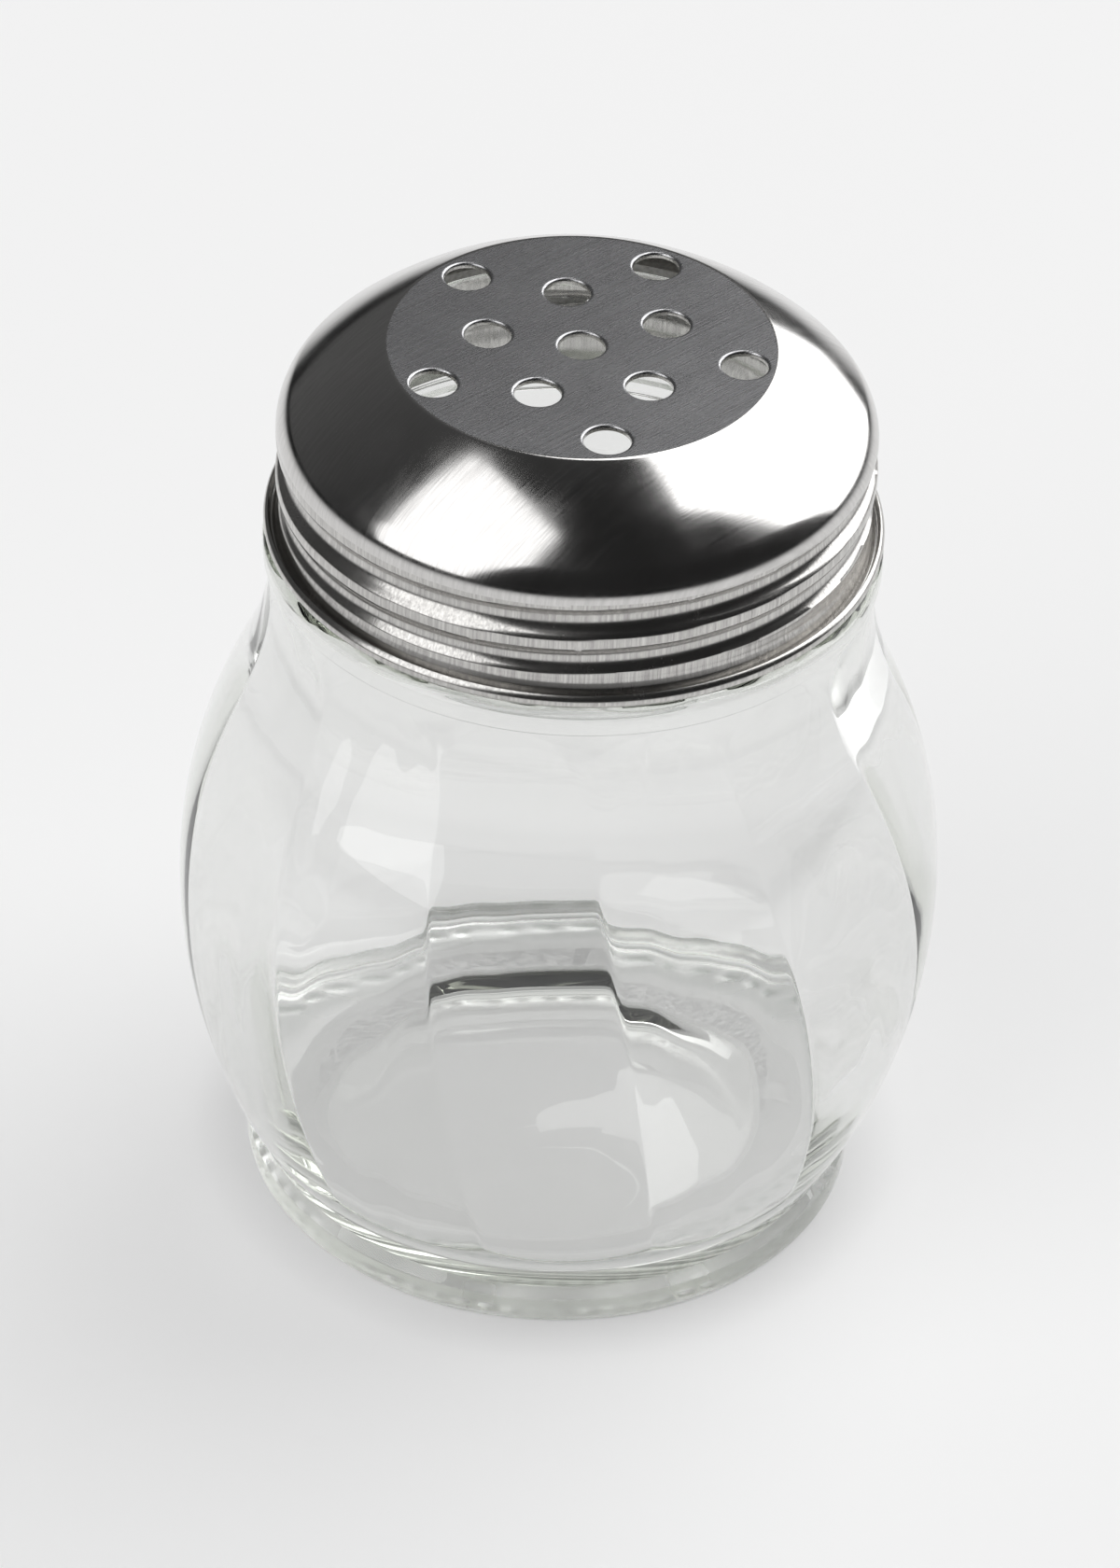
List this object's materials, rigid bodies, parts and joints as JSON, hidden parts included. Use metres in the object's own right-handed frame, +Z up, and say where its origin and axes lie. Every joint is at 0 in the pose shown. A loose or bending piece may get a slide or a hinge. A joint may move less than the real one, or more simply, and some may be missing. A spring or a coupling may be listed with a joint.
{
  "type": "cheese shaker",
  "caption": "Shaker for grated cheese: a round-bellied clear glass jar with twisted panels on its inside and a threaded neck, closed by a domed steel screw-on lid with a perforated brushed top.",
  "frame": {"origin": "centre of the jar's foot, on the surface that the jar stands on", "axes": "+Z up along the jar's axis; -Y towards the picture's viewer, +X to the viewer's right"},
  "size_m": [0.0704, 0.0704, 0.0897],
  "materials": {
    "clear_glass": "clear moulded glass with a faint green tint in its thick edges",
    "stainless_steel": "brushed flat top, polished dome, satin skirt",
    "liner": "matt white foam"
  },
  "bodies": {
    "jar": {"glass_jar": "clear_glass"},
    "liner": {"rim_liner": "liner"},
    "lid": {"perforated_lid": "stainless_steel"}
  },
  "joints": [
    {"name": "lid_rise", "type": "slide", "parent": "jar", "child": "liner", "axis": [0, 0, 1], "range_m": [0, 0.0142]},
    {"name": "lid_turn", "type": "hinge", "parent": "liner", "child": "lid", "pos_m": [0, 0, 0.08], "axis": [0, 0, 1], "range_deg": [0, 1200]}
  ],
  "couplings": [
    {"joint": "lid_rise", "follows": "lid_turn", "m_per_rad": 0.0006737}
  ]
}
